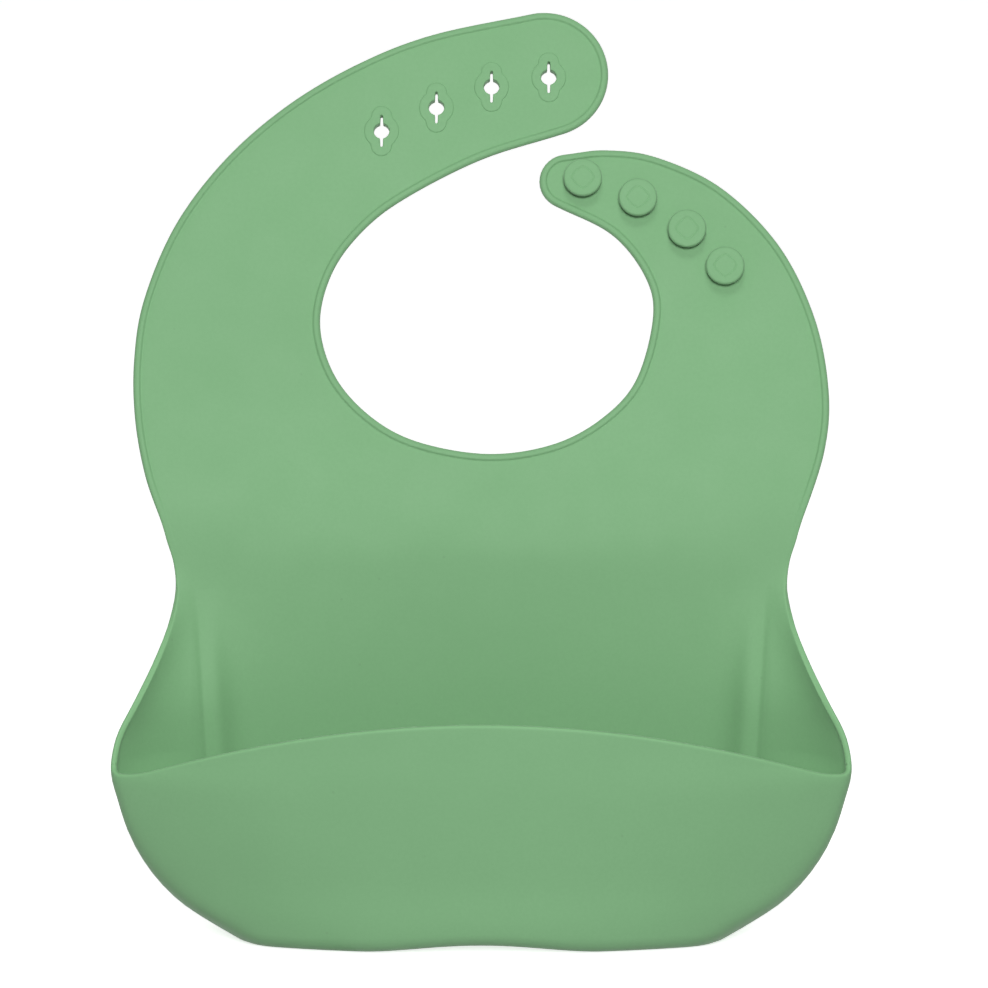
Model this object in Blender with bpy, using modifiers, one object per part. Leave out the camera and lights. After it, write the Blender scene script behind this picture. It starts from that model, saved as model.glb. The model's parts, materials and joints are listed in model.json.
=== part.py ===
"""Silicone bib with a catch-all pocket, standing on the pocket's base.

One soft moulding, modelled zone by zone: the pocket at the bottom, the panel behind it, the collar, and two
neck straps, one with keyhole plates and one with studs. +Z is up and the front faces -Y. Metres.
"""
import math

import bpy
from mathutils import Vector

MM = 0.001

# ---- driving dimensions ----------------------------------------------------------------------------------
SHEET = 2.0 * MM                    # thickness of the sheet
GAP = 0.3 * MM                      # clearance between neighbouring zones
BEAD_RADIUS = 1.2 * MM              # rounded rim along the outline
PANEL_FOOT_Y = 8.1 * MM             # where the panel's middle plane meets the ground
PANEL_LEAN = math.radians(-4.5)     # the panel behind the pocket leans forward
COLLAR_LEAN = math.radians(18.0)    # the collar leans back
WAIST_HEIGHT = 132.0 * MM           # the line where the collar folds
WAIST_CLEARANCE = 1.6 * MM          # half of the gap along that line
STRAP_CLEARANCE = 1.1 * MM          # half of the gap along a strap's bending line
BEAD_SETBACK = 0.5 * MM             # a bead's square end stops this much further from a bending line
SHOULDER = 66.0 * MM                # the straps bend this far above the waist line
SHOULDER_MIDDLE = 81.0 * MM         # and this far out is the middle of each strap there

# Heights and half widths of the panel's outline between the pocket's flanks and the waist line
FLANK_TOP = 112.0 * MM
CREASE_HALF_WIDTH = 86.5 * MM
WAIST_HALF_WIDTH = 97.4 * MM
WIDENING = (98.4, 119.5)            # half width and height of a point between the two, in millimetres
PANEL_TOP_HALF_WIDTH = 101.5 * MM
PANEL_INSET = 0.6 * MM              # the panel stops this far inside the creases

# The pocket: height, half width at the corner, corner's depth, depth at the middle of the front
POCKET_ROWS = (
    (0.0, 70.0, 24.0, 38.5),
    (0.8, 75.5, 25.0, 42.0),
    (3.0, 82.0, 26.0, 45.5),
    (6.5, 88.0, 27.0, 48.0),
    (12.0, 94.5, 28.5, 50.0),
    (20.0, 102.0, 31.0, 51.5),
    (34.0, 109.8, 34.8, 53.8),
    (47.0, 114.0, 36.7, 55.6),
    (56.0, 116.0, 37.2, 56.8),
    (75.2, 116.0, 37.2, 58.0),
)
# The flanks' free edge: height, half width, depth
FLANK_ROWS = (
    (56.0, 116.0, 37.0),
    (65.4, 115.1, 34.5),
    (76.9, 109.7, 29.0),
    (88.4, 103.5, 22.0),
    (100.3, 99.2, 15.2),
    (112.0, 97.4, 10.4),
)
TRAY_HEIGHT = 12.0 * MM
BACK_TUCK = 5.0 * MM                # how far the back rounds in at the foot
SIDE_TUCK = 22.0 * MM               # how far the creases run in there
TUCK_POWER = 2.2
TRAY_SEAM = 0.8 * MM                # half of the gap between the tray's sloping rim and the walls above
TRAY_FRONT = (24.0, 48.0)           # where the front of the tray has points, besides its middle and corners
TRAY_FRONT_END = 66.0 * MM
TRAY_FOOT_END = 52.8 * MM           # the same at the ground, where the tray is narrower
CORNER_TOP = 56.0 * MM
CORNER_BEND = 9.0 * MM              # length of the corner's rounding along the flank
CORNER_BEND_SHARE = 0.35            # and at most this much of the flank
CORNER_CUT = (0.25, 0.12)           # the rounding's middle is this much of its length in from the corner
CREASE_GAP = 1.8 * MM               # the walls stop this far from the panel's crease
LIP_HEIGHT = 75.2 * MM
LIP_DROP = 1.68 / 1000.0            # the lip drops by this times x squared, both in millimetres
LIP_END = 0.85 * MM                 # the lip's bead stops this far short of the front wall's end
FRONT_HALF_WIDTH = 80.0 * MM
FRONT_ROUNDNESS = 2.4               # power of the front wall's plan curve
FRONT_COLUMNS = 6                   # columns of faces on each half of the front wall
LIP_COLUMNS = 12

# The collar's outline, seen square on: x across and height along the leaning sheet above the waist line
OUTER_LEFT = (
    (-102.0, 0.0), (-107.2, 15.0), (-110.6, 33.0), (-111.2, 52.0), (-108.3, 72.0), (-98.6, 96.4),
    (-83.0, 118.0), (-63.4, 135.8), (-41.1, 149.6), (-16.5, 159.7), (17.7, 167.2),
)
INNER_LEFT = (
    (24.7, 126.3), (0.1, 118.3), (-23.4, 106.1), (-37.3, 95.5), (-47.6, 81.5), (-51.7, 64.4),
    (-47.0, 47.4), (-35.7, 34.2), (-20.6, 25.8), (1.6, 21.8),
)
INNER_RIGHT = (
    (1.6, 21.8), (21.9, 24.6), (37.6, 32.7), (49.2, 45.4), (54.9, 66.0), (52.5, 79.6), (41.9, 93.4),
    (23.9, 102.8),
)
OUTER_RIGHT = (
    (27.1, 120.0), (40.0, 121.4), (56.5, 119.0), (77.3, 108.8), (95.6, 89.8), (106.8, 66.0), (111.0, 42.0),
    (109.3, 22.3), (102.0, 0.0),
)
# The straps' round ends: centre, radius, first and last angle in degrees
HOLE_TIP = (20.3, 146.6, 20.7, 97.0, -78.0)
STUD_TIP = (27.6, 111.0, 9.0, 245.8, 93.0)

# Where the strap ends bend: a point on the line and the line's direction
HOLE_TIP_LINE = ((-49.5, 117.5), (0.51, -0.86))
STUD_TIP_LINE = ((58.3, 100.3), (0.545, 0.838))

HOLE_PLATES = ((-32.3, 127.6), (-14.6, 135.4), (3.2, 142.3), (21.7, 145.5))
PLATE_RADIUS = 5.7 * MM
PLATE_LOBE_RADIUS = 3.45 * MM
PLATE_LENGTH = 16.8 * MM
PLATE_THICKNESS = 3.3 * MM
HOLE_RADIUS = 2.5 * MM
SLIT_LENGTH = 10.6 * MM
SLIT_WIDTH = 0.9 * MM

STUDS = ((32.5, 111.3), (50.2, 104.8), (65.9, 94.5), (78.0, 82.3))
STUDS_ON_TIP = 2                    # the first studs are past the strap's bending line
# A stud's radius and height above the sheet, from the middle of its head round to the foot of its stem
STUD_PROFILE = (
    (0.0, 4.1), (4.9, 4.1), (5.8, 3.9), (6.2, 3.3), (6.0, 2.5), (5.2, 2.15),
    (2.9, 1.9), (2.9, 0.0), (0.0, 0.0),
)
STUD_SEGMENTS = 24

SILICONE = (0.235, 0.445, 0.235)
SILICONE_ROUGHNESS = 0.55
SMOOTH_UP_TO = math.radians(35)     # edges bent by more than this stay sharp


# ---- tools -----------------------------------------------------------------------------------------------
def clear_scene():
    for obj in list(bpy.data.objects):
        bpy.data.objects.remove(obj, do_unlink=True)


def make_collection(name):
    found = bpy.data.collections.new(name)
    bpy.context.scene.collection.children.link(found)
    return found


def silicone(name, shade=1.0):
    """The moulding's own material for one piece, a little lighter or darker than the others."""
    material = bpy.data.materials.new(name + "_silicone")
    material.use_nodes = True
    shader = material.node_tree.nodes["Principled BSDF"]
    shader.inputs["Base Color"].default_value = [channel * shade for channel in SILICONE] + [1.0]
    shader.inputs["Roughness"].default_value = SILICONE_ROUGHNESS
    shader.inputs["Metallic"].default_value = 0.0
    return material


def add_object(name, data, parent, shade=1.0):
    obj = bpy.data.objects.new(name, data)
    BIB.objects.link(obj)
    obj.parent = parent
    data.materials.append(silicone(name, shade))
    return obj


def add_empty(name, parent, location):
    empty = bpy.data.objects.new(name, None)
    BIB.objects.link(empty)
    empty.parent = parent
    empty.location = location
    return empty


def catmull_rom(points, steps=5):
    """A smooth curve through the points, which stay on it. Takes and gives millimetres."""
    points = [Vector(p) for p in points]
    before = 2 * points[0] - points[1]
    after = 2 * points[-1] - points[-2]
    chain = [before] + points + [after]
    curve = []
    for i in range(1, len(chain) - 2):
        p0, p1, p2, p3 = chain[i - 1:i + 3]
        for k in range(steps):
            t = k / steps
            slope = p2 - p0
            bend = 2 * p0 - 5 * p1 + 4 * p2 - p3
            cubic = 3 * p1 - p0 - 3 * p2 + p3
            curve.append(0.5 * (2 * p1 + slope * t + bend * t * t + cubic * t ** 3))
    curve.append(points[-1])
    return curve


def arc(centre_x, centre_y, radius, start, end, steps=10):
    """Points on an arc from one angle to another, in degrees, without its two ends."""
    angles = [math.radians(start + (end - start) * k / steps) for k in range(1, steps)]
    return [Vector((centre_x + radius * math.cos(a), centre_y + radius * math.sin(a))) for a in angles]


def inset(points, distance):
    """Moves an open chain of points to its right-hand side by a distance in millimetres."""
    moved = []
    for i, point in enumerate(points):
        ahead = points[min(i + 1, len(points) - 1)]
        behind = points[max(i - 1, 0)]
        along = (ahead - behind).normalized()
        moved.append(point + Vector((along.y, -along.x)) * distance)
    return moved


def clip(points, origin, normal, closed):
    """The part of a chain on the side of a line that its normal points to."""
    origin = Vector(origin)
    normal = Vector(normal)
    kept = []
    last = len(points) if closed else len(points) - 1
    for i in range(last):
        here = points[i]
        there = points[(i + 1) % len(points)]
        side_here = (here - origin).dot(normal)
        side_there = (there - origin).dot(normal)
        if side_here >= 0:
            kept.append(here)
        if side_here * side_there < 0:
            kept.append(here.lerp(there, side_here / (side_here - side_there)))
    if not closed and (points[-1] - origin).dot(normal) >= 0:
        kept.append(points[-1])
    return kept


def flat_sheet(name, outlines, thickness, parent, offset=(0.0, 0.0), shade=1.0):
    """A flat piece in its parent's plane, cut to the first outline, with the others as its holes."""
    curve = bpy.data.curves.new(name, "CURVE")
    curve.dimensions = "2D"
    curve.fill_mode = "BOTH"
    curve.extrude = thickness / 2
    for outline in outlines:
        spline = curve.splines.new("POLY")
        spline.points.add(len(outline) - 1)
        for point, place in zip(spline.points, outline):
            point.co = (place[0] * MM, place[1] * MM, 0.0, 1.0)
        spline.use_cyclic_u = True
    obj = add_object(name, curve, parent, shade)
    obj.location = (-offset[0] * MM, -offset[1] * MM, 0.0)
    return obj


def bead(name, path, parent, offset=(0.0, 0.0), shade=1.0):
    """A round rim along a path in its parent's plane, or through points in space."""
    curve = bpy.data.curves.new(name, "CURVE")
    curve.dimensions = "3D"
    curve.bevel_depth = BEAD_RADIUS
    curve.bevel_resolution = 2
    curve.use_fill_caps = True
    spline = curve.splines.new("POLY")
    spline.points.add(len(path) - 1)
    for point, place in zip(spline.points, path):
        height = place[2] if len(place) > 2 else 0.0
        point.co = (place[0] * MM, place[1] * MM, height * MM, 1.0)
    obj = add_object(name, curve, parent, shade)
    obj.location = (-offset[0] * MM, -offset[1] * MM, 0.0)
    return obj


def lofted_shell(name, rows, parent, shade=1.0):
    """A sheet through rows of points, the same number in each, thickened towards the pocket's inside."""
    mesh = bpy.data.meshes.new(name)
    across = len(rows[0])
    places = [place for row in rows for place in row]
    faces = []
    for i in range(len(rows) - 1):
        for j in range(across - 1):
            corner = i * across + j
            faces.append((corner, corner + 1, corner + across + 1, corner + across))
    mesh.from_pydata(places, [], faces)
    obj = add_object(name, mesh, parent, shade)
    thicken(obj)
    return obj


def thicken(obj):
    obj.data.shade_smooth()
    obj.data.set_sharp_from_angle(angle=SMOOTH_UP_TO)
    wall = obj.modifiers.new("wall", "SOLIDIFY")
    wall.thickness = SHEET
    wall.offset = -1.0
    wall.use_even_offset = True


# ---- the pocket's form -----------------------------------------------------------------------------------
def read_rows(rows, height):
    """The row's values at a height, in metres, read between the rows of a table in millimetres."""
    height = height / MM
    for low, high in zip(rows, rows[1:]):
        if height <= high[0]:
            share = max(0.0, (height - low[0]) / (high[0] - low[0]))
            return [(a + (b - a) * share) * MM for a, b in zip(low[1:], high[1:])]
    return [value * MM for value in rows[-1][1:]]


def panel_y(height):
    """The middle plane of the panel behind the pocket."""
    return height * math.tan(PANEL_LEAN)


def crease_at(height):
    """Where the flank meets the panel. The foot of the back is rounded under."""
    tuck = max(0.0, 1.0 - height / TRAY_HEIGHT)
    half_width = CREASE_HALF_WIDTH - SIDE_TUCK * tuck ** TUCK_POWER
    return half_width, panel_y(height) + SHEET / 2 - BACK_TUCK * tuck ** TUCK_POWER


def front_at(x, height):
    """The outer face of the front wall in plan: its y at x."""
    half_width, corner, middle = read_rows(POCKET_ROWS, height)
    share = min(1.0, abs(x) / half_width)
    return -middle + (middle - corner) * share ** FRONT_ROUNDNESS


def lip_height(x):
    return LIP_HEIGHT - LIP_DROP * (x / MM) ** 2 * MM


def corner_plan(height, front_from=FRONT_HALF_WIDTH + GAP / 2, crease_gap=CREASE_GAP):
    """The corner's outer face in plan on the +X side, from the front round to beside the crease."""
    half_width, corner, _ = read_rows(POCKET_ROWS, height)
    crease = Vector(crease_at(height))
    tip = Vector((half_width, -corner))
    flank = (tip - crease).normalized()
    end = crease + flank * crease_gap
    bend = min(CORNER_BEND, CORNER_BEND_SHARE * (tip - end).length)
    bend_from = half_width - bend
    plan = []
    for share in (0.0, 0.5, 1.0):
        x = front_from + (bend_from - front_from) * share
        plan.append(Vector((x, front_at(x, height))))
    plan.append(tip + Vector((-CORNER_CUT[0], CORNER_CUT[1])) * bend)
    plan.append(tip - flank * bend)
    plan.append(end.lerp(tip - flank * bend, 0.5))
    plan.append(end)
    return plan


def mirrored(rows):
    """Rows on the -X side, turned so that the faces still point out."""
    return [[(-x, y, z) for x, y, z in reversed(row)] for row in rows]


def corner_rows():
    """The pocket's wall from the front wall's end round the corner to the crease, on the +X side."""
    bottom = TRAY_HEIGHT + TRAY_SEAM
    plan = corner_plan(CORNER_TOP)
    tops = [max(CORNER_TOP, lip_height(place.x)) for place in plan[:3]]
    tops += [CORNER_TOP] * (len(plan) - 3)
    rows = []
    for share in (0.0, 0.25, 0.5, 0.75, 1.0):
        row = []
        for column, top in enumerate(tops):
            height = bottom + (top - bottom) * share
            place = corner_plan(height)[column]
            row.append((place.x, place.y, height))
        rows.append(row)
    return rows


def flank_rows():
    """The sail-shaped flank above the pocket's corner, on the +X side, from its free edge to the crease."""
    rows = []
    for height, _, _ in FLANK_ROWS:
        height = max(height * MM, CORNER_TOP + GAP)
        half_width, depth = read_rows(FLANK_ROWS, height)
        free = Vector((half_width, -depth))
        crease = Vector(crease_at(height))
        inner = crease + (free - crease).normalized() * CREASE_GAP
        rows.append([(*free.lerp(inner, share), height) for share in (0.0, 0.5, 1.0)])
    return rows


def front_rows():
    """The middle of the front wall, from the tray up to the lip's bead."""
    bottom = TRAY_HEIGHT + TRAY_SEAM
    edge = FRONT_HALF_WIDTH - GAP / 2
    rows = []
    for share in (0.0, 0.2, 0.45, 0.7, 1.0):
        row = []
        for column in range(-FRONT_COLUMNS, FRONT_COLUMNS + 1):
            x = edge * column / FRONT_COLUMNS
            top = lip_height(x) - 2 * BEAD_RADIUS - GAP
            height = bottom + (top - bottom) * share
            row.append((x, front_at(x, height), height))
        rows.append(row)
    return rows


def lip_path():
    """The middle of the lip's bead. Its ends are square to its slope, so it stops short of the corners."""
    edge = FRONT_HALF_WIDTH - LIP_END
    path = []
    for column in range(-LIP_COLUMNS, LIP_COLUMNS + 1):
        x = edge * column / LIP_COLUMNS
        top = lip_height(x)
        path.append((x / MM, (front_at(x, top) + SHEET / 2) / MM, (top - BEAD_RADIUS) / MM))
    return path


def tray_loops():
    """The tray's outer face as closed loops from the ground up."""
    heights = [row[0] * MM for row in POCKET_ROWS if row[0] * MM < TRAY_HEIGHT]
    heights.append(TRAY_HEIGHT - TRAY_SEAM)
    loops = []
    for height in heights:
        right = [Vector((x * MM, front_at(x * MM, height))) for x in TRAY_FRONT]
        right += corner_plan(height, TRAY_FOOT_END if height < MM else TRAY_FRONT_END, 0.0)
        back_x, back_y = crease_at(height)
        right += [Vector((back_x * share, back_y)) for share in (2 / 3, 1 / 3)]
        left = [Vector((-place.x, place.y)) for place in reversed(right)]
        middle = [Vector((0.0, front_at(0.0, height)))]
        back = [Vector((0.0, back_y))]
        loops.append([(place.x, place.y, height) for place in middle + right + back + left])
    return loops


# ---- the collar's outline --------------------------------------------------------------------------------
def strap_edges(name):
    """A strap's outer edge, its round end and its neck edge."""
    if name == "hole_strap":
        return catmull_rom(OUTER_LEFT), arc(*HOLE_TIP), catmull_rom(INNER_LEFT)
    return catmull_rom(OUTER_RIGHT), arc(*STUD_TIP), catmull_rom(INNER_RIGHT)


def shifted(line, distance):
    """A point and a normal for a cut that far past a strap's bending line, towards the strap's tip."""
    (x, y), (dx, dy) = line
    normal = Vector((-dy, dx)).normalized()
    return Vector((x, y)) + normal * distance / MM, normal


def plate_outline(centre, grow=0.0):
    """A raised plate: a circle with a round lobe above and below it."""
    radius = (PLATE_RADIUS + grow) / MM
    lobe = (PLATE_LOBE_RADIUS + grow) / MM
    lobe_y = (PLATE_LENGTH / 2 - PLATE_LOBE_RADIUS) / MM
    joint_y = (radius ** 2 - lobe ** 2 + lobe_y ** 2) / (2 * lobe_y)
    on_circle = math.degrees(math.asin(joint_y / radius))
    on_lobe = math.degrees(math.asin((joint_y - lobe_y) / lobe))
    x, y = centre
    outline = arc(x, y, radius, -on_circle, on_circle)
    outline += arc(x, y + lobe_y, lobe, on_lobe, 180 - on_lobe)
    outline += arc(x, y, radius, 180 - on_circle, 180 + on_circle)
    outline += arc(x, y - lobe_y, lobe, 180 - on_lobe, 360 + on_lobe)
    return outline


def keyhole(centre):
    """A round hole with a slit above and below it."""
    x, y = centre
    radius = HOLE_RADIUS / MM
    half = SLIT_WIDTH / 2 / MM
    end = SLIT_LENGTH / 2 / MM
    mouth = math.degrees(math.acos(half / radius))
    outline = arc(x, y, radius, -mouth, mouth)
    outline += [Vector((x + half, y + end)), Vector((x - half, y + end))]
    outline += arc(x, y, radius, 180 - mouth, 180 + mouth)
    outline += [Vector((x - half, y - end)), Vector((x + half, y - end))]
    return outline


def stud(name, centre, parent, offset):
    """A mushroom stud: a round head on a short stem, standing on the sheet's front."""
    mesh = bpy.data.meshes.new(name)
    edges = [(i, i + 1) for i in range(len(STUD_PROFILE) - 1)]
    mesh.from_pydata([(radius * MM, 0.0, height * MM) for radius, height in STUD_PROFILE], edges, [])
    obj = add_object(name, mesh, parent, 1.04)
    obj.location = ((centre[0] - offset[0]) * MM, (centre[1] - offset[1]) * MM, SHEET / 2 + GAP)
    turn = obj.modifiers.new("turn", "SCREW")
    turn.steps = STUD_SEGMENTS
    turn.render_steps = STUD_SEGMENTS
    turn.use_merge_vertices = True
    turn.merge_threshold = 0.01 * MM
    turn.use_smooth_shade = True


# ---- the bib ---------------------------------------------------------------------------------------------
def build_pocket(frame):
    lofted_shell("pocket_front_wall", front_rows(), frame, 0.95)
    bead("pocket_lip", lip_path(), frame)
    corner = corner_rows()
    lofted_shell("pocket_corner_right", corner, frame, 0.88)
    lofted_shell("pocket_corner_left", mirrored(corner), frame, 0.88)
    flank = flank_rows()
    lofted_shell("pocket_side_right", flank, frame, 0.92)
    lofted_shell("pocket_side_left", mirrored(flank), frame, 0.92)
    build_tray(frame)


def build_tray(frame):
    """The tray that the bib stands on: open at the top, flat below."""
    loops = tray_loops()
    count = len(loops[0])
    mesh = bpy.data.meshes.new("pocket_base")
    faces = [tuple(reversed(range(count)))]
    for i in range(len(loops) - 1):
        for j in range(count):
            ahead = (j + 1) % count
            low = i * count
            high = low + count
            faces.append((low + j, low + ahead, high + ahead, high + j))
    mesh.from_pydata([place for loop in loops for place in loop], [], faces)
    thicken(add_object("pocket_base", mesh, frame, 0.85))


def build_panel(frame):
    """The panel behind the pocket, as wide as the creases below and as the outline above the flanks."""
    plane = add_empty("panel_plane", frame, (0.0, 0.0, 0.0))
    plane.rotation_euler.x = math.radians(90) - PANEL_LEAN
    stretch = 1.0 / math.cos(PANEL_LEAN)
    inner = (CREASE_HALF_WIDTH - PANEL_INSET) / MM
    bottom = (TRAY_HEIGHT + 5 * GAP) / MM * stretch
    step = (FLANK_TOP + GAP) / MM * stretch
    top = (WAIST_HEIGHT * stretch - WAIST_CLEARANCE) / MM
    right = [
        (inner, bottom), (inner, step), (WAIST_HALF_WIDTH / MM, step), WIDENING,
        (PANEL_TOP_HALF_WIDTH / MM, top),
    ]
    left = [(-x, y) for x, y in reversed(right)]
    flat_sheet("lower_panel", [right + left], SHEET, plane)


def build_upper_panel(waist):
    """The collar between the waist line and the straps, with the beads along its three edges."""
    left_outer, left_end, left_neck = strap_edges("hole_strap")
    right_outer, right_end, right_neck = strap_edges("stud_strap")
    rim = left_outer + left_end + left_neck + right_neck[1:] + right_end + right_outer
    sheet = inset(rim, (2 * BEAD_RADIUS + GAP) / MM)
    shoulder = (SHOULDER - STRAP_CLEARANCE) / MM
    waist_line = WAIST_CLEARANCE / MM
    outline = clip(clip(sheet, (0, shoulder), (0, -1), True), (0, waist_line), (0, 1), True)
    flat_sheet("upper_panel", [outline], SHEET, waist)
    setback = BEAD_SETBACK / MM
    edges = {
        "neck_bead": left_neck + right_neck[1:],
        "side_bead_left": left_outer,
        "side_bead_right": right_outer,
    }
    for name, edge in edges.items():
        path = clip(inset(edge, BEAD_RADIUS / MM), (0, shoulder - setback), (0, -1), False)
        bead(name, clip(path, (0, waist_line + setback), (0, 1), False), waist, shade=1.05)


def shoulder_point(side):
    """The middle of a strap where it bends at the shoulder. side is -1 on the left and 1 on the right."""
    return side * SHOULDER_MIDDLE / MM, SHOULDER / MM


def build_strap(name, side, line, holes, waist):
    """A strap in two zones, split at its bending line. Returns the empties on its two axes."""
    root_x, root_y = shoulder_point(side)
    tip_x, tip_y = line[0]
    axis = add_empty(name + "_axis", waist, (root_x * MM, root_y * MM, 0.0))
    tip_axis = add_empty(name + "_tip_axis", axis, ((tip_x - root_x) * MM, (tip_y - root_y) * MM, 0.0))
    before, normal = shifted(line, -STRAP_CLEARANCE)
    after, _ = shifted(line, STRAP_CLEARANCE)
    shoulder = (SHOULDER + STRAP_CLEARANCE) / MM
    outer, round_end, neck = strap_edges(name)
    rim = outer + round_end + neck if side < 0 else neck + round_end + outer
    sheet = clip(inset(rim, (2 * BEAD_RADIUS + GAP) / MM), (0, shoulder), (0, 1), False)
    flat_sheet(name, [clip(sheet, before, -normal, True)], SHEET, axis, (root_x, root_y))
    flat_sheet(name + "_tip", [clip(sheet, after, normal, True)] + holes, SHEET, tip_axis, line[0])

    setback = BEAD_SETBACK / MM
    for edge_name, edge in (("outer", outer), ("inner", neck)):
        path = clip(inset(edge, BEAD_RADIUS / MM), (0, shoulder + setback), (0, 1), False)
        path = clip(path, before - normal * setback, -normal, False)
        bead(f"{name}_bead_{edge_name}", path, axis, (root_x, root_y), 1.05)
    path = clip(inset(rim, BEAD_RADIUS / MM), (0, shoulder + setback), (0, 1), False)
    bead(name + "_tip_bead", clip(path, after + normal * setback, normal, False), tip_axis, line[0], 1.05)
    return axis, tip_axis


def build_straps(waist):
    cuts = [plate_outline(centre, GAP) for centre in HOLE_PLATES]
    _, tip_axis = build_strap("hole_strap", -1, HOLE_TIP_LINE, cuts, waist)
    for number, centre in enumerate(HOLE_PLATES, 1):
        outlines = [plate_outline(centre), keyhole(centre)]
        name = f"hole_plate_{number}"
        flat_sheet(name, outlines, PLATE_THICKNESS, tip_axis, HOLE_TIP_LINE[0], shade=1.08)
    axis, tip_axis = build_strap("stud_strap", 1, STUD_TIP_LINE, [], waist)
    for number, centre in enumerate(STUDS, 1):
        if number <= STUDS_ON_TIP:
            stud(f"stud_{number}", centre, tip_axis, STUD_TIP_LINE[0])
        else:
            stud(f"stud_{number}", centre, axis, shoulder_point(1))


clear_scene()
BIB = make_collection("silicone_bib")
bib_frame = add_empty("bib_frame", None, (0.0, PANEL_FOOT_Y, 0.0))
build_pocket(bib_frame)
build_panel(bib_frame)
waist_axis = add_empty("waist_axis", bib_frame, (0.0, panel_y(WAIST_HEIGHT), WAIST_HEIGHT))
waist_axis.rotation_euler.x = math.radians(90) - COLLAR_LEAN
build_upper_panel(waist_axis)
build_straps(waist_axis)
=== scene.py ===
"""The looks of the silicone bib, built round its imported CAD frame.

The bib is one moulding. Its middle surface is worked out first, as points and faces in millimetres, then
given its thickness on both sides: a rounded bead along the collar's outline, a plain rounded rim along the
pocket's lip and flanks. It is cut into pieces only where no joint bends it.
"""
import json
import math

import bpy
import numpy as np
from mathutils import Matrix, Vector
from mathutils.geometry import delaunay_2d_cdt
from mathutils.kdtree import KDTree


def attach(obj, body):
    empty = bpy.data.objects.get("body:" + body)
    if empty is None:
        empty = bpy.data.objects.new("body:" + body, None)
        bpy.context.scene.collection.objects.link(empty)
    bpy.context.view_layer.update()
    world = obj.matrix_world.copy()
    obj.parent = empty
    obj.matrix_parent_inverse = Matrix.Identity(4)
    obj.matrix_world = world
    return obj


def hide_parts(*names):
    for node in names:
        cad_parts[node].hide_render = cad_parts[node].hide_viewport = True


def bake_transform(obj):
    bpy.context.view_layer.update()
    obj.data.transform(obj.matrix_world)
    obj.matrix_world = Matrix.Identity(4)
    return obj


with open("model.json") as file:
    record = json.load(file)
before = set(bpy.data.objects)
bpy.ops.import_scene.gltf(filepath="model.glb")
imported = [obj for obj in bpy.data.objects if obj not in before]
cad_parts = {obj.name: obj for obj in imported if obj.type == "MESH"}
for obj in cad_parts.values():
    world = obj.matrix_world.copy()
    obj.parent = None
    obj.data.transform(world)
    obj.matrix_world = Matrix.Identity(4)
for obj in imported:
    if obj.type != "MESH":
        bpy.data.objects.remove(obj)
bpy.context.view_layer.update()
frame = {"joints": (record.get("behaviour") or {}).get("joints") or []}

MM = 0.001
JOINTS = {joint["name"]: joint for joint in frame["joints"]}

# ---- the sheet's planes -----------------------
HALF = 1.0                                          # half of the sheet's thickness
PANEL_LEAN = math.radians(-4.5)
COLLAR_LEAN = math.radians(18.0)
WAIST_Y = JOINTS["waist_fold"]["pos_m"][1] / MM
WAIST_Z = JOINTS["waist_fold"]["pos_m"][2] / MM
FOOT_Y = WAIST_Y - WAIST_Z * math.tan(PANEL_LEAN)   # the panel's middle plane at the ground
FRONT = np.array((0.0, -math.cos(COLLAR_LEAN), math.sin(COLLAR_LEAN)))

# The waist's bend takes this much of the sheet below and above the hinge, at the middle and at the sides
BEND_BELOW_MIDDLE = 12.0
BEND_BELOW_SIDE = 22.0
BEND_ABOVE_MIDDLE = 26.0
BEND_ABOVE_SIDE = 10.0
BEND_HALF_WIDTH = 90.0              # from here outwards it is as at the sides

# ---- the pocket -------------------------------
# Outer face of the corner: height, half width, depth of the corner, depth of the front's middle, and how much
# of half a sheet the middle surface lies inside it
CORNER_ROWS = (
    (0.0, 72.5, 34.0, 45.5, 1.0),
    (0.8, 75.6, 36.0, 48.4, 1.0),
    (3.0, 80.6, 36.5, 50.2, 1.0),
    (6.5, 87.0, 35.5, 51.0, 1.0),
    (12.0, 94.7, 34.0, 51.6, 1.0),
    (20.0, 102.3, 33.5, 52.2, 1.0),
    (34.0, 110.5, 34.9, 54.2, 1.0),
    (47.0, 114.4, 36.8, 55.8, 0.9),
    (56.0, 115.9, 37.4, 56.8, 0.5),
    (65.4, 114.5, 35.0, 57.4, 0.3),
    (76.9, 109.1, 29.6, 58.1, 0.3),
    (88.4, 103.5, 22.0, 58.1, 0.3),
    (100.3, 99.2, 15.2, 58.1, 0.3),
    (112.5, 97.4, 10.4, 58.1, 0.2),
    (125.3, 100.2, 9.87, 58.1, 0.0),
    (132.0, 102.0, 10.39, 58.1, 0.0),
)
# Radius of the corner's rounding in plan, by height
CORNER_ROUNDING = ((1.0, 14.0), (5.0, 20.0), (12.0, 18.0), (20.0, 14.0), (40.0, 8.0), (56.0, 6.0),
                   (66.0, 4.0), (78.0, 1.0), (112.0, 0.3))
FRONT_POWER = 2.4                   # of the front wall's curve in plan
CREASE = 84.7                       # half width at the crease between the panel and the flanks
CREASE_SLANT = 0.05                 # how much wider it gets for each millimetre up
CREASE_SOFTNESS = 0.75
CREASE_END = 3.2                    # the flanks start this far past it
CREASE_TUCK = 22.0                  # how far the creases run in at the foot
TUCK_HEIGHT = 12.0
TUCK_POWER = 2.2
BACK_ROUNDING = 6.0                 # radius of the foot of the back
RIDGE_HEIGHT = 7.0                  # the fold that stands up beside each crease
RIDGE_INSET = 4.2
RIDGE_SOFTNESS = 0.8
RIDGE_SPREAD = 0.15                 # the smaller, the longer the panel's rise towards the fold
RIDGE_FOOT = 14.0                   # the fold starts at this height
RIDGE_FOOT_FADE = 22.0              # and takes this much height to stand up fully
RIDGE_TOP = 116.0
RIDGE_TOP_FADE = 46.0
FLANK_BOW = 2.2                     # how far the flanks bow outwards where their edges are free
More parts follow.
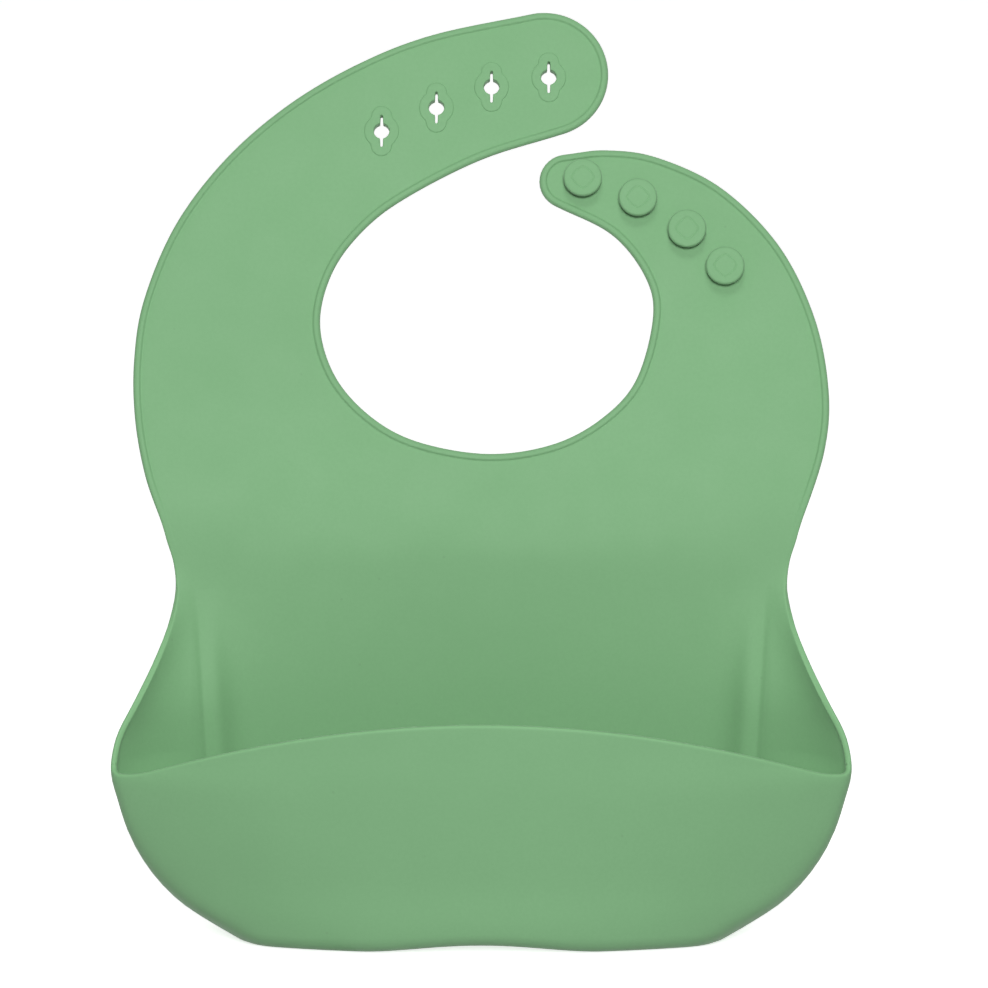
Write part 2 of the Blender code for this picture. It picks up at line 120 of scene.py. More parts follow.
BOW_FOOT = 48.0
BOW_FOOT_FADE = 12.0
BOW_TOP = 106.0
BOW_TOP_FADE = 30.0
FLANK_TOP = 122.0                   # above this the sheet no longer curls at the creases
FLANK_FADE = 8.0
ROUNDING_SHARE = 0.6                # the corner's rounding takes up at most this share of the flank
FLANK_RESERVE = 5.0                 # less this much of its length
LIP_MIDDLE = 75.2
LIP_FALL = 0.00168                  # the lip falls by this times x squared
LIP_FLOOR = 55.8                    # and no lower than this
LIP_SOFTNESS = 1.5                  # of the change from one to the other
TURN_RADIUS = 3.5                   # of the turn from the lip up to the flank's edge
FRONT_TOP = 59.3                    # height of that turn's end
SEAM_HEIGHT = 110.0                 # where the pocket's piece meets the collar's
ARCH_HEIGHT = 2.8                   # the base is raised in its middle
ARCH_HALF_WIDTH = 38.0
ARCH_FADE = 22.0

# ---- the collar's outline, x across and distance up the leaning sheet from the waist
SIDE = ((98.9, -31.8), (97.7, -25.8), (97.4, -19.7), (98.2, -13.2), (100.1, -6.7))
OUTER_LEFT = (
    (-102.0, 0.0), (-107.2, 15.0), (-110.6, 33.0), (-111.2, 52.0), (-108.3, 72.0), (-98.6, 96.4),
    (-83.0, 118.0), (-63.4, 135.8), (-41.1, 149.6), (-16.5, 159.7), (17.7, 167.2),
)
INNER_LEFT = (
    (24.7, 126.3), (0.1, 118.3), (-23.4, 106.1), (-37.3, 95.5), (-47.6, 81.5), (-51.7, 64.4),
    (-47.0, 47.4), (-35.7, 34.2), (-20.6, 25.8), (1.6, 21.8),
)
INNER_RIGHT = (
    (21.9, 24.6), (37.6, 32.7), (49.2, 45.4), (54.9, 66.0), (52.5, 79.6), (41.9, 93.4), (23.9, 102.8),
)
OUTER_RIGHT = (
    (27.1, 120.0), (40.0, 121.4), (56.5, 119.0), (77.3, 108.8), (95.6, 89.8), (106.8, 66.0), (111.0, 42.0),
    (109.3, 22.3), (102.0, 0.0),
)
HOLE_TIP = ((20.3, 146.6), 20.7, 97.0, -78.0)       # centre, radius, first and last angle
STUD_TIP = ((27.6, 111.0), 9.0, 245.8, 93.0)

STRAP_SEAM = 48.0                                   # where the straps' pieces meet the collar's
HOLE_TIP_LINE = ((-49.5, 117.5), (0.51, -0.86))     # where the strap ends bend: a point and a direction
STUD_TIP_LINE = ((58.3, 100.3), (0.545, 0.838))
HOLE_END_SEAM = -12.0                               # the end piece starts this far before the bending line
STUD_END_SEAM = -6.0
HOLE_BEND = 9.0                                     # half of the stretch that bends round the line
STUD_BEND = 4.0

HOLE_PLATES = ((-32.3, 127.6), (-14.6, 135.4), (3.2, 142.3), (21.7, 145.5))
PLATE_RADIUS = 5.7
LOBE_RADIUS = 3.45
PLATE_LENGTH = 16.8
HOLE_RADIUS = 2.5
SLIT_HALF_LENGTH = 5.3
SLIT_HALF_WIDTH = 0.4
# How the plates' outer edges and the keyholes' edges are rounded: distance in from the edge and height
PLATE_STEPS = ((0.0, 0.0), (0.02, 0.9), (0.14, 1.18), (0.32, 1.32), (0.6, 1.36))
KEYHOLE_STEPS = ((0.0, 0.0), (0.02, 1.12), (0.1, 1.25), (0.22, 1.34), (0.36, 1.36))
PLATE_BACK = 2.1                    # the plates stand out this many times as far behind
PLATE_OVERLAP = 0.8                 # the strap runs this far in under the plates
STUDS = ((32.5, 111.3), (50.2, 104.8), (65.9, 94.5), (78.0, 82.3))
STUD_RADIUS = 6.2
STEM_RADIUS = 2.9
STUD_TOP = 5.4                                      # height of a stud's face above the sheet's middle
STUD_SEGMENTS = 96
MARK_POWER = 1.35                                   # of the diamond on the face: 1 has straight sides
MARK_REACH = 3.6
MARK_DEPTH = 0.22
MARK_WIDTH = 0.2

# Distances from the edge of the sheet at which it has a row of points
RIM_STEPS = (0.0, 0.07, 0.28, 0.6, 1.0, 1.45, 1.9, 2.12, 2.33, 2.55, 2.95, 3.4)
BEAD_HEIGHT = 0.5
BEAD_PEAK = 1.25
BEAD_FALL = 1.9
GROOVE_DEPTH = 0.15
GROOVE_AT = 2.55
GROOVE_END = 3.4
BEAD_START = -12.0                  # the bead starts this far up the sheet from the waist
BEAD_RISE = 34.0                    # and stands out fully after this much more

OUTLINE_SPACING = 1.5               # between points along the collar's outline
COLLAR_SPACING = 3.0                # and inside it
FOOT_SPACING = 5.0
PLATE_SPACING = 0.9
EDGE_LIGHT_START = 0.1                     # painted highlight: edges are painted lighter this far in
EDGE_LIGHT_WIDTH = 1.0                     # and that fades out over this much more
BEAD_EDGE_LIGHT_CUT = 0.6                  # the bead gets less of the painted edge highlight, by this share

SLIVER = 0.002                      # twice the area of a triangle that rounding made along a straight edge


# ---- curves -----------------------------------
def smoothstep(x):
    x = np.clip(x, 0.0, 1.0)
    return x * x * (3 - 2 * x)


def catmull_rom(points, steps=12):
    """A smooth curve through the points."""
    points = np.array(points, float)
    chain = np.vstack([2 * points[0] - points[1], points, 2 * points[-1] - points[-2]])
    curve = []
    for p0, p1, p2, p3 in zip(chain, chain[1:], chain[2:], chain[3:]):
        for t in np.arange(steps) / steps:
            cubic = (3 * p1 - p0 - 3 * p2 + p3) * t ** 3
            curve.append(0.5 * (2 * p1 + (p2 - p0) * t + (2 * p0 - 5 * p1 + 4 * p2 - p3) * t * t + cubic))
    curve.append(points[-1])
    return np.array(curve)


def arc(centre, radius, first, last, steps=40):
    """Points on an arc between two angles in degrees, without its ends."""
    angles = np.radians(np.linspace(first, last, steps + 1)[1:-1])
    return np.array(centre) + radius * np.column_stack([np.cos(angles), np.sin(angles)])


def lengths(line):
    """The distance along a line of points at each point."""
    return np.concatenate([[0.0], np.cumsum(np.linalg.norm(np.diff(line, axis=0), axis=1))])


def sample(line, distances):
    """Points at distances along a line."""
    along = lengths(line)
    return np.column_stack([np.interp(distances, along, line[:, k]) for k in range(line.shape[1])])


def smooth_table(rows):
    """Rows of numbers read along a smooth curve through them, spaced as their first two columns are apart."""
    rows = np.array(rows, float)
    at = lengths(rows[:, :2])
    slope = np.gradient(rows, at, axis=0)
    dense = []
    for i in range(len(rows) - 1):
        span = at[i + 1] - at[i]
        for t in np.arange(12) / 12:
            here = (2 * t ** 3 - 3 * t ** 2 + 1) * rows[i] + (t ** 3 - 2 * t ** 2 + t) * span * slope[i]
            there = (3 * t ** 2 - 2 * t ** 3) * rows[i + 1] + (t ** 3 - t ** 2) * span * slope[i + 1]
            dense.append(here + there)
    dense.append(rows[-1])
    return np.array(dense)


# ---- the pocket's form ------------------------
def middle_of_corner():
    """The corner's middle surface: height, half width, corner depth, front depth."""
    outer = smooth_table(CORNER_ROWS)
    along = np.gradient(outer[:, :2], axis=0)
    along /= np.linalg.norm(along, axis=1)[:, None]
    inset = HALF * outer[:, 4]
    middle = outer[:, :4].copy()
    middle[:, 0] += inset * along[:, 1]
    middle[:, 1] -= inset * along[:, 0]
    middle[:, 2] -= inset * along[:, 0]
    middle[:, 3] -= HALF * along[:, 0]
    return middle


CORNER = middle_of_corner()
ROUNDING = np.array(CORNER_ROUNDING)


def corner_at(height):
    return [np.interp(height, CORNER[:, 0], CORNER[:, k]) for k in (1, 2, 3)]


def back_y(height):
    """The middle plane of the back, rounded under at its foot."""
    under = np.clip(BACK_ROUNDING + HALF - height, 0.0, BACK_ROUNDING)
    rounded = BACK_ROUNDING - np.sqrt(BACK_ROUNDING ** 2 - under ** 2)
    return FOOT_Y + height * math.tan(PANEL_LEAN) - rounded


def crease_at(height):
    tuck = CREASE_TUCK * np.clip(1.0 - height / TUCK_HEIGHT, 0.0, 1.0) ** TUCK_POWER
    return CREASE + CREASE_SLANT * height - tuck


def ridge_at(height):
    foot = smoothstep((height - RIDGE_FOOT) / RIDGE_FOOT_FADE)
    return RIDGE_HEIGHT * smoothstep((RIDGE_TOP - height) / RIDGE_TOP_FADE) * foot


def bow_at(height):
    top = smoothstep((BOW_TOP - height) / BOW_TOP_FADE)
    return FLANK_BOW * smoothstep((height - BOW_FOOT) / BOW_FOOT_FADE) * top


def ramp(t):
    """Rises with slope 1 past zero, with a soft start."""
    return 0.5 * (t + np.sqrt(t * t + CREASE_SOFTNESS ** 2))


def curl(t, angle, height):
    """How far the flat sheet draws in and how far it comes forward, t beyond the crease."""
    inward = (1 - np.cos(angle)) * ramp(t)
    rise = (1.0 + np.exp(-np.clip((t + RIDGE_INSET) / RIDGE_SOFTNESS, -100.0, 30.0))) ** -RIDGE_SPREAD
    return inward, np.sin(angle) * ramp(t - 1.0) + ridge_at(height) * rise


def solve_flank(height, for_front):
    """The flank's angle, and the corner's vertex and rounding, at one height."""
    table_height = min(height, FRONT_TOP) if for_front else height
    half_width, depth, _ = corner_at(table_height)
    front_depth = corner_at(height)[2]
    corner_y = FOOT_Y - depth
    front_y = FOOT_Y - front_depth
    crease = crease_at(height)
    forward = back_y(height) - corner_y - ridge_at(height)
    rounding = np.interp(table_height, ROUNDING[:, 0], ROUNDING[:, 1])
    angle = 0.5
    corner_x = half_width
    for _ in range(8):
        angle = math.atan2(max(forward + math.sin(angle), 1e-6), corner_x - crease)
        length = (corner_x - crease) / math.cos(angle)
        radius = min(rounding, ROUNDING_SHARE * (length - FLANK_RESERVE))
        slope = (corner_y - front_y) * FRONT_POWER / corner_x
        along_flank = math.cos(angle)
        along_front = 1.0 / math.hypot(1.0, slope)
        corner_x = half_width + radius * along_flank * along_front / (along_flank + along_front)
    return angle, length, radius, corner_x, corner_y, front_y


def plan(height, for_front=False):
    """The flank from its start to the corner's apex, and the front wall from there to its middle."""
    angle, length, radius, corner_x, corner_y, front_y = solve_flank(height, for_front)
    along = np.array((math.cos(angle), -math.sin(angle)))
    corner = np.array((corner_x, corner_y))

    def wall(x):
        return front_y + (corner_y - front_y) * (x / corner_x) ** FRONT_POWER

    slope = (corner_y - front_y) * FRONT_POWER / corner_x
    end_x = corner_x - radius / math.hypot(1.0, slope)
    end = np.array((end_x, wall(end_x)))
    end_slope = slope * (end_x / corner_x) ** (FRONT_POWER - 1)
    shift = end_slope * (corner_x - end_x) - (corner_y - end[1])
    control = corner + along * shift / (along[1] - end_slope * along[0])
    start = control - along * radius
    crease = crease_at(height)
    inward, forward = curl(CREASE_END, angle, height)
    first = np.array((crease + CREASE_END - inward, back_y(height) - forward))
    t = np.linspace(0.0, 1.0, 41)[:, None]
    bend = (1 - t) ** 2 * start + 2 * t * (1 - t) * control + t ** 2 * end
    flank = np.vstack([first, bend[:21]])
    x = np.linspace(end_x, 0.0, 90)[1:]
    front = np.vstack([bend[20:], np.column_stack([x, wall(x)])])
    return flank, front


ANGLE_HEIGHTS = np.linspace(1.0, 124.0, 247)
ANGLES = np.array([solve_flank(height, False)[0] for height in ANGLE_HEIGHTS])
ANGLES *= smoothstep((FLANK_TOP - ANGLE_HEIGHTS) / FLANK_FADE)


def sheet_place(u, s):
    """Points of the sheet's middle surface from u across the flat sheet and s along it from the waist."""
    u = np.asarray(u, float)
    s = np.asarray(s, float)
    middle = np.clip(1.0 - (u / BEND_HALF_WIDTH) ** 2, 0.0, 1.0)
    below = BEND_BELOW_SIDE + (BEND_BELOW_MIDDLE - BEND_BELOW_SIDE) * middle
    above = BEND_ABOVE_SIDE + (BEND_ABOVE_MIDDLE - BEND_ABOVE_SIDE) * middle
    inside = np.clip(s, -below, above)
    root = np.sqrt(below ** 2 + (above - below) * (below + inside))
    t = (below + inside) / (below + root)
    low = np.minimum(s + below, 0.0) - below * (1 - t) ** 2
    high = np.maximum(s - above, 0.0) + above * t ** 2
    y = WAIST_Y + low * math.sin(PANEL_LEAN) + high * math.sin(COLLAR_LEAN)
    z = WAIST_Z + low * math.cos(PANEL_LEAN) + high * math.cos(COLLAR_LEAN)
    angle = np.interp(z, ANGLE_HEIGHTS, ANGLES, right=0.0)
    inward, forward = curl(np.abs(u) - crease_at(z), angle, z)
    return np.column_stack([u - np.sign(u) * inward, y - forward, z])


# ---- the middle surface -----------------------
class MiddleSurface:
    """Points and faces, each face with the name of its piece. A face's normal points to the bib's front."""

    def __init__(self):
        self.points = []
        self.bead = []
        self.faces = []
        self.free_edges = []

    def add(self, place, bead=0.0):
        self.points.append(np.array(place, float))
        self.bead.append(bead)
        return len(self.points) - 1

    def quads(self, piece, first, second, turned=False):
        """Faces between two rows of points."""
        for a, b, c, d in zip(first, first[1:], second[1:], second):
            corners = [a, b, c, d]
            self.faces.append((piece, corners[::-1] if turned else corners))


def even_odd(points, loop):
    """Whether each point is inside a loop."""
    inside = np.zeros(len(points), bool)
    ahead = np.roll(loop, -1, axis=0)
    for (x0, y0), (x1, y1) in zip(loop, ahead):
        if y0 == y1:
            continue
        crosses = (points[:, 1] > y0) != (points[:, 1] > y1)
        at = x0 + (points[:, 1] - y0) * (x1 - x0) / (y1 - y0)
        inside ^= crosses & (points[:, 0] < at)
    return inside


def lattice(low, high, spacing):
    """A triangular lattice of points over a box."""
    rows = []
    height = spacing * math.sqrt(3) / 2
    for i, y in enumerate(np.arange(low[1], high[1], height)):
        x = np.arange(low[0] + (i % 2) * spacing / 2, high[0], spacing)
        rows.append(np.column_stack([x, np.full(len(x), y)]))
    return np.vstack(rows)


def fill(surface, piece, loop, holes, flat, lift, spacing):
    """Fills a loop of points with triangles. flat gives a point's place in the plane, lift turns it back."""
    rims = [loop] + holes
    ids = [i for rim in rims for i in rim]
    corners = np.array([flat[i] for i in ids])
    edges = []
    first = 0
    for rim in rims:
        count = len(rim)
        edges += [(first + k, first + (k + 1) % count) for k in range(count)]
        first += count
    outlines = [np.array([flat[i] for i in rim]) for rim in rims]
    near = KDTree(len(corners))
    for i, corner in enumerate(corners):
        near.insert((corner[0], corner[1], 0.0), i)
    near.balance()
    new = lattice(corners.min(0), corners.max(0), spacing)
    keep = even_odd(new, outlines[0])
    for outline in outlines[1:]:
        keep &= ~even_odd(new, outline)
    new = np.array([p for p in new[keep] if near.find((p[0], p[1], 0.0))[2] > 0.6 * spacing]).reshape(-1, 2)
    if len(new):
        for place, lifted in zip(new, lift(new)):
            ids.append(surface.add(lifted))
            flat[ids[-1]] = tuple(place)
    every = [Vector((flat[i][0], flat[i][1])) for i in ids]
    places, _, triangles, origins, _, _ = delaunay_2d_cdt(every, edges, [], 0, 1e-6, True)
    centres = np.array([np.mean([places[k] for k in tri], axis=0) for tri in triangles])
    keep = even_odd(centres, outlines[0])
    for outline in outlines[1:]:
        keep &= ~even_odd(centres, outline)
    for triangle, wanted in zip(triangles, keep):
        if not wanted:
            continue
        a, b, c = (places[k] for k in triangle)
        turn = (b - a).cross(c - a)
        if abs(turn) < SLIVER:
            continue
        corners = [ids[origins[k][0]] for k in triangle]
        if turn < 0:
            corners.reverse()
        surface.faces.append((piece, corners))


# ---- the pocket's middle surface --------------
BACK_COLUMNS = 10
CREASE_COLUMNS = (-24.0, -20.0, -17.0, -14.5, -12.5, -11.0, -9.6, -8.4, -7.4, -6.4, -5.6, -4.8, -4.2,
                  -3.6, -3.0, -2.4, -1.6, -0.8, 0.0, 0.8, 1.6, 2.4, CREASE_END)
FLANK_COLUMNS = 8
FRONT_COLUMNS = 28
TUCK_STATIONS = (0.0, 2.5, 5.0, 7.5, 10.0, 12.5, 15.0, 18.0, 21.0, 25.0, 29.0, 34.0, 39.0, 44.0, 49.0, 55.0)
UPPER_STEPS = (0.5, 1.2, 2.2, 3.5, 5.0, 6.8, 9.0, 11.5, 14.5, 18.0, 21.5, 25.0, 28.5, 32.0, 35.5, 39.0,
               42.0, 45.0, 48.0)


def back_part(height):
    """Points of one row from the middle of the back to the start of the flank, in plan, and their flat x."""
    crease = crease_at(height)
    bend = crease + np.array(CREASE_COLUMNS)
    flat = np.concatenate([bend[0] * np.arange(BACK_COLUMNS) / BACK_COLUMNS, bend])
    angle = solve_flank(height, False)[0]
    inward, forward = curl(flat - crease, angle, height)
    return np.column_stack([flat - inward, back_y(height) - forward]), flat


def flank_part(height):
    """Points of one row from there to the corner's apex, and their distances."""
    flank, _ = plan(height)
    length = lengths(flank)[-1]
    rim = length - np.array(RIM_STEPS[::-1])
    at = np.concatenate([rim[0] * np.arange(1, FLANK_COLUMNS) / FLANK_COLUMNS, rim])
    places = sample(flank, at)
    share = (at / length)[:, None]
    return places + normals_of(places) * (-4.0 * bow_at(height) * share * (1 - share)), at


def front_part(height):
    """Points of one row from the corner's apex, without it, to the middle of the front."""
    _, front = plan(height, True)
    length = lengths(front)[-1]
    share = (np.arange(1, FRONT_COLUMNS + 1) / FRONT_COLUMNS) ** 1.3
    at = np.concatenate([RIM_STEPS[1:], RIM_STEPS[-1] + (length - RIM_STEPS[-1]) * share])
    return sample(front, at), at


def lip_height(x, distance):
    """The lip's height at x, where distance is how far round the corner from its apex that is."""
    free = LIP_MIDDLE - LIP_FALL * x * x
    height = 0.5 * (free + LIP_FLOOR + np.sqrt((free - LIP_FLOOR) ** 2 + LIP_SOFTNESS ** 2))
    ahead = np.clip(TURN_RADIUS - distance, 0.0, TURN_RADIUS)
    return height + TURN_RADIUS - np.sqrt(TURN_RADIUS ** 2 - ahead ** 2)


def pocket_levels(top):
    """The heights of a column's points from the base to the lip."""
    stations = sample(CORNER[:, :2], TUCK_STATIONS)[:, 0]
    rim = top - np.array(RIM_STEPS[::-1])
    between = stations[-1] + (rim[0] - stations[-1]) * np.arange(1, 7) / 7
    return np.concatenate([stations, between, rim])


def arch(place):
    """Raises the base in its middle."""
    x, y, z = place
    rise = ARCH_HEIGHT * max(0.0, 1 - (x / ARCH_HALF_WIDTH) ** 2) ** 2
    return np.array((x, y, z + rise * max(0.0, 1 - z / ARCH_FADE) ** 2))


def build_pocket(surface):
    """Adds the pocket and the panel behind it. Returns its top row of points and their flat x."""
    low_levels = pocket_levels(FRONT_TOP)
    levels = np.concatenate([low_levels, FRONT_TOP + np.array(UPPER_STEPS), [SEAM_HEIGHT]])
    count = BACK_COLUMNS + len(CREASE_COLUMNS) + FLANK_COLUMNS - 1 + len(RIM_STEPS)
    back = {1: [], -1: []}
    for height in levels:
        inner, flat = back_part(height)
        outer, at = flank_part(height)
        row = np.vstack([inner, outer])
        middle = surface.add(arch((row[0, 0], row[0, 1], height)))
        for side in (1, -1):
            ids = [surface.add(arch((side * x, y, height))) for x, y in row[1:]]
            back[side].append([middle] + ids)
        top_flat = np.concatenate([flat, crease_at(height) + CREASE_COLUMNS[-1] + at])
    front = {1: [], -1: []}
    columns = front_columns()
    for level in range(len(low_levels)):
        row = [column[level] for column in columns]
        middle = surface.add(arch(row[-1]))
        for side in (1, -1):
            ids = [surface.add(arch((side * x, y, z))) for x, y, z in row[:-1]]
            front[side].append([back[side][level][-1]] + ids + [middle])
    for side in (1, -1):
        for low, high in zip(back[side], back[side][1:]):
            surface.quads("pocket", low, high, side < 0)
        for low, high in zip(front[side], front[side][1:]):
            surface.quads("pocket", low, high, side < 0)
        lip = front[side][-1]
        edge = [row[count - 1] for row in back[side][len(low_levels) - 1:]]
        surface.free_edges += list(zip(lip, lip[1:])) + list(zip(edge, edge[1:]))
    fill_base(surface, back, front)
    return back, top_flat


def front_columns():
    """The front wall's columns of points on the +X side, from beside the apex to the middle."""
    plan_top, at = front_part(FRONT_TOP)
    tops = lip_height(plan_top[:, 0], at)
    for _ in range(2):
        x = np.array([front_part(top)[0][k, 0] for k, top in enumerate(tops)])
        tops = lip_height(x, at)
    columns = []
    for k, top in enumerate(tops):
        columns.append([(*front_part(height)[0][k], height) for height in pocket_levels(top)])
    return columns


def fill_base(surface, back, front):
    """Fills the foot inside the lowest row."""
    loop = back[1][0] + front[1][0][1:] + front[-1][0][-2:0:-1] + back[-1][0][:0:-1]
    flat = {i: tuple(surface.points[i][:2]) for i in loop}
    base = CORNER[0, 0]

    def lift(places):
        return [arch((x, y, base)) for x, y in places]

    fill(surface, "pocket", loop[::-1], [], flat, lift, FOOT_SPACING)


# ---- the collar's middle surface --------------
def unrolled(x, s):
    """The flat sheet's x of a point of the outline that the flank's curl draws in to x."""
    height = WAIST_Z + s * math.cos(PANEL_LEAN)
    angle = np.interp(height, ANGLE_HEIGHTS, ANGLES, right=0.0)
    crease = crease_at(height)
    return crease + (x - crease) / math.cos(angle)


def collar_outline(seam):
    """The outline from the left end of the seam over both straps to its right end."""
    side = [(unrolled(x, s), s) for x, s in SIDE]
    low_left = [(-x, s) for x, s in side]
    left = catmull_rom(low_left + list(OUTER_LEFT))
    hole_tip = arc(*HOLE_TIP)
    neck = catmull_rom(INNER_LEFT + INNER_RIGHT)
    stud_tip = arc(*STUD_TIP, steps=30)
    right = catmull_rom(list(OUTER_RIGHT) + side[::-1])
    chain = np.vstack([left, hole_tip, neck, stud_tip, right])
    chain = chain[chain[:, 1] > seam[0][1] + 0.2]
    chain = np.vstack([seam[0], chain, seam[-1]])
    length = lengths(chain)[-1]
    return sample(chain, np.linspace(0.0, length, int(length / OUTLINE_SPACING) + 1))


def crossings(outline, origin, normal):
    """The outline's points nearest to a line, one for each time that it crosses it."""
    side = (outline - np.array(origin)) @ np.array(normal)
    found = np.flatnonzero(side[:-1] * side[1:] < 0)
    return [int(i) if abs(side[i]) < abs(side[i + 1]) else int(i + 1) for i in found]


def tip_normal(line):
    dx, dy = line[1]
    return np.array((-dy, dx)) / math.hypot(dx, dy)


def bead_at(s):
    """How much of the bead stands out: all of it round the collar, none below the waist."""
    return float(smoothstep((s - BEAD_START) / BEAD_RISE))


def plate_outline(centre, grow=0.0):
    """A circle with a round lobe above and below it, softened where they meet."""
    radius = PLATE_RADIUS + grow
    lobe = LOBE_RADIUS + grow
    rise = PLATE_LENGTH / 2 - LOBE_RADIUS
    meet = (radius ** 2 - lobe ** 2 + rise ** 2) / (2 * rise)
    on_circle = math.degrees(math.asin(meet / radius))
    on_lobe = math.degrees(math.asin((meet - rise) / lobe))
    x, y = centre
    loop = np.vstack([
        arc(centre, radius, -on_circle, on_circle),
        arc((x, y + rise), lobe, on_lobe, 180 - on_lobe),
        arc(centre, radius, 180 - on_circle, 180 + on_circle),
        arc((x, y - rise), lobe, 180 - on_lobe, 360 + on_lobe),
    ])
    return soften(loop, 0.3, 1)


def keyhole(centre):
    """A round hole with a narrow slit above and below it."""
    x, y = centre
    mouth = math.degrees(math.acos(SLIT_HALF_WIDTH / HOLE_RADIUS))
    end = SLIT_HALF_LENGTH - SLIT_HALF_WIDTH
    loop = np.vstack([
        arc(centre, HOLE_RADIUS, -mouth, mouth, 120),
        arc((x, y + end), SLIT_HALF_WIDTH, 0.0, 180.0, 12),
        arc(centre, HOLE_RADIUS, 180 - mouth, 180 + mouth, 120),
        arc((x, y - end), SLIT_HALF_WIDTH, 180.0, 360.0, 12),
    ])
    return soften(loop, 0.2, 2)


def soften(loop, spacing, rounds):
    """A closed loop with evenly spaced points, its corners rounded a little."""
    closed = np.vstack([loop, loop[:1]])
    length = lengths(closed)[-1]
    count = int(round(length / spacing))
    loop = sample(closed, np.linspace(0.0, length, count + 1)[:-1])
    for _ in range(rounds):
        loop = 0.5 * loop + 0.25 * (np.roll(loop, 1, axis=0) + np.roll(loop, -1, axis=0))
    return loop


def normals_of(line, closed=False):
    """The direction to the right of a line at each of its points."""
    if closed:
        along = np.roll(line, -1, axis=0) - np.roll(line, 1, axis=0)
    else:
        along = np.gradient(line, axis=0)
    along /= np.linalg.norm(along, axis=1)[:, None]
    return np.column_stack([along[:, 1], -along[:, 0]])


class Collar:
    """The collar's rows of points along its outline, and the pieces between them."""

    def __init__(self, surface, back, top_flat):
        self.surface = surface
        self.flat = {}
        seam_s = (SEAM_HEIGHT - WAIST_Z) / math.cos(PANEL_LEAN)
        right = back[1][-1]
        left = back[-1][-1]
        for i, j, u in zip(right, left, top_flat):
            self.flat[i] = (u, seam_s)
            if i != j:
                self.flat[j] = (-u, seam_s)
        self.seam_row = left[::-1] + right[1:]
        ends = (self.flat[self.seam_row[0]], self.flat[self.seam_row[-1]])
        self.outline = collar_outline(ends)
        self.build_rim()
        self.find_seams()

    def build_rim(self):
        outward = normals_of(self.outline)
        last = len(self.outline) - 1
        self.rim = []
        for k, distance in enumerate(RIM_STEPS):
            places = self.outline + outward * distance
            row = []
            for i, place in enumerate(places):
                if i == 0:
                    row.append(self.seam_row[k])
                elif i == last:
                    row.append(self.seam_row[-1 - k])
                else:
                    row.append(self.add(place))
            self.rim.append(row)
        for i, s in enumerate(self.outline[:, 1]):
            for row in self.rim:
                self.surface.bead[row[i]] = bead_at(s)
        outer = self.rim[0]
        self.surface.free_edges += list(zip(outer, outer[1:]))

    def add(self, place):
        i = self.surface.add(sheet_place(place[:1], place[1:])[0])
        self.flat[i] = tuple(place)
        return i

    def find_seams(self):
        self.shoulder = crossings(self.outline, (0.0, STRAP_SEAM), (0.0, 1.0))
        hole_normal = tip_normal(HOLE_TIP_LINE)
        origin = np.array(HOLE_TIP_LINE[0]) + hole_normal * HOLE_END_SEAM
        a, b, c, d = self.shoulder
        self.hole_end = [i for i in crossings(self.outline, origin, hole_normal) if a < i < b]
        stud_normal = tip_normal(STUD_TIP_LINE)
        origin = np.array(STUD_TIP_LINE[0]) + stud_normal * STUD_END_SEAM
        self.stud_end = [i for i in crossings(self.outline, origin, stud_normal) if c < i < d]

    def across(self, i, j):
        """New points between the inner ends of two rim columns, without those ends."""
        start = np.array(self.flat[self.rim[-1][i]])
        end = np.array(self.flat[self.rim[-1][j]])
        count = max(2, int(round(np.linalg.norm(end - start) / COLLAR_SPACING)))
        return [self.add(start + (end - start) * k / count) for k in range(1, count)]

    def strips(self, piece, first, last):
        """The rim's faces between two of its columns."""
        for outer, inner in zip(self.rim, self.rim[1:]):
            self.surface.quads(piece, inner[first:last + 1], outer[first:last + 1])

    def inner(self, first, last):
        return self.rim[-1][first:last + 1]

    def fill(self, piece, loop, holes=()):
        def lift(places):
            return sheet_place(places[:, 0], places[:, 1])

        fill(self.surface, piece, loop, list(holes), self.flat, lift, COLLAR_SPACING)

    def build(self):
        a, b, c, d = self.shoulder
        e, f = self.hole_end
        g, h = self.stud_end
        last = len(self.outline) - 1
        left_seam = self.across(a, b)
        right_seam = self.across(c, d)
        hole_seam = self.across(e, f)
        stud_seam = self.across(g, h)
        steps = len(RIM_STEPS)
        bottom = self.seam_row[steps:-steps][::-1]
        for first, end in ((0, a), (b, c), (d, last)):
            self.strips("collar", first, end)
        self.fill("collar", self.inner(0, a) + left_seam + self.inner(b, c) + right_seam
                  + self.inner(d, last) + bottom)
        for first, end in ((a, e), (f, b)):
            self.strips("hole_root", first, end)
        self.fill("hole_root", self.inner(a, e) + hole_seam + self.inner(f, b) + left_seam[::-1])
        self.strips("hole_end", e, f)
        cuts = []
        for centre in HOLE_PLATES:
            loop = plate_outline(centre, -PLATE_OVERLAP)[::2]
            cuts.append([self.add(place) for place in loop])
        self.fill("hole_end", self.inner(e, f) + hole_seam[::-1], cuts)
        for first, end in ((c, g), (h, d)):
            self.strips("stud_root", first, end)
        self.fill("stud_root", self.inner(c, g) + stud_seam + self.inner(h, d) + right_seam[::-1])
        self.strips("stud_end", g, h)
        self.fill("stud_end", self.inner(g, h) + stud_seam[::-1])


# ---- from the middle surface to solid pieces --
def vertex_normals(points, faces):
    normals = np.zeros_like(points)
    for corners in faces:
        first = points[corners[0]]
        for b, c in zip(corners[1:], corners[2:]):
            normal = np.cross(points[b] - first, points[c] - first)
            for corner in (corners[0], b, c):
                normals[corner] += normal
    return normals / np.maximum(np.linalg.norm(normals, axis=1), 1e-12)[:, None]


